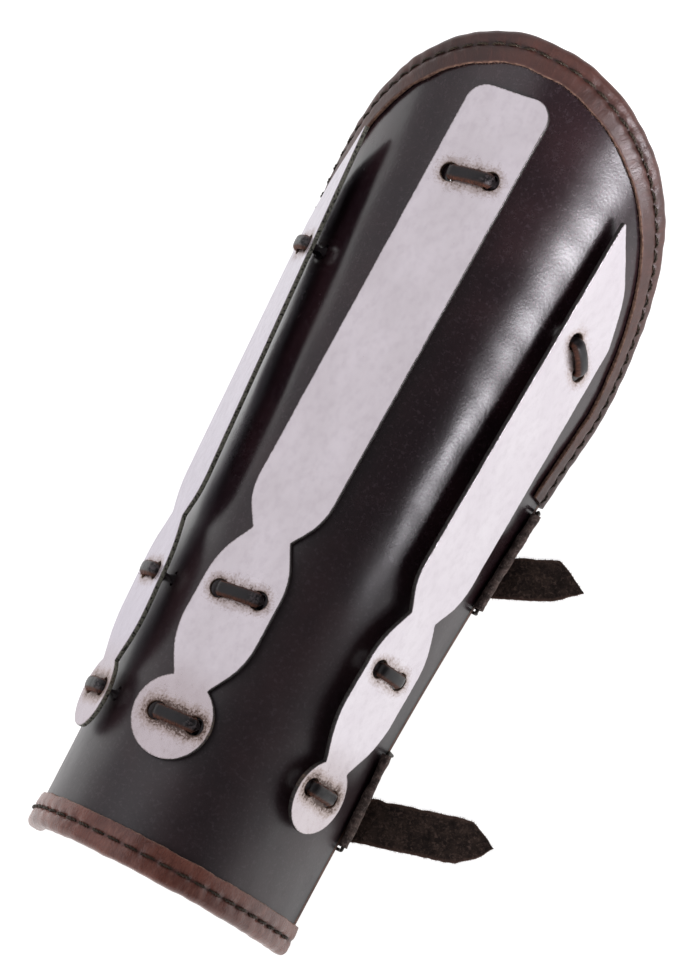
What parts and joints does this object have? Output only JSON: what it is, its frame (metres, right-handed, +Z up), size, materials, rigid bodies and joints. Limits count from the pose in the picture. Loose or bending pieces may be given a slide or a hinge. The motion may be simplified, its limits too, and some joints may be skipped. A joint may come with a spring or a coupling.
{
  "type": "leather bracer",
  "caption": "Forearm bracer: a stiff gutter of dark leather with bound ends, laced steel splints and closing straps across its open back.",
  "frame": {"origin": "middle of the footprint, on the plane that the bracer lies on", "axes": "+Y from the wrist end to the arched elbow end, +Z up through the middle splint, +X to the side where the strap tails come out"},
  "size_m": [0.1516, 0.301, 0.0755],
  "materials": {
    "shell_leather": "stiff dark leather, polished, with a fine pebble in the highlights",
    "lining_leather": "thin reddish-brown leather, dull",
    "binding_leather": "brown leather strip, folded and saddle-stitched, satin",
    "splint_steel": "polished steel with faint scratches, rust stains round the laces",
    "lace_leather": "dark thong, smooth on top, reddish raw edges",
    "strap_leather": "suede, flesh side out, fuzzy edges",
    "tab_leather": "dark folded leather, worn where it bends",
    "buckle_steel": "plain steel wire"
  },
  "bodies": {
    "root": {"shell": "shell_leather", "lining": "lining_leather", "wrist_binding": "binding_leather", "elbow_binding": "binding_leather", "splint_middle": "splint_steel", "splint_left": "splint_steel", "splint_right": "splint_steel", "lace_middle_disc": "lace_leather", "lace_middle_lobe": "lace_leather", "lace_middle_top": "lace_leather", "lace_left_disc": "lace_leather", "lace_left_lobe": "lace_leather", "lace_left_top": "lace_leather", "lace_right_disc": "lace_leather", "lace_right_lobe": "lace_leather", "lace_right_top": "lace_leather", "strap_lower": "strap_leather", "strap_upper": "strap_leather", "tab_lower": "tab_leather", "tab_upper": "tab_leather", "buckle_lower": "buckle_steel", "buckle_upper": "buckle_steel"}
  },
  "joints": []
}
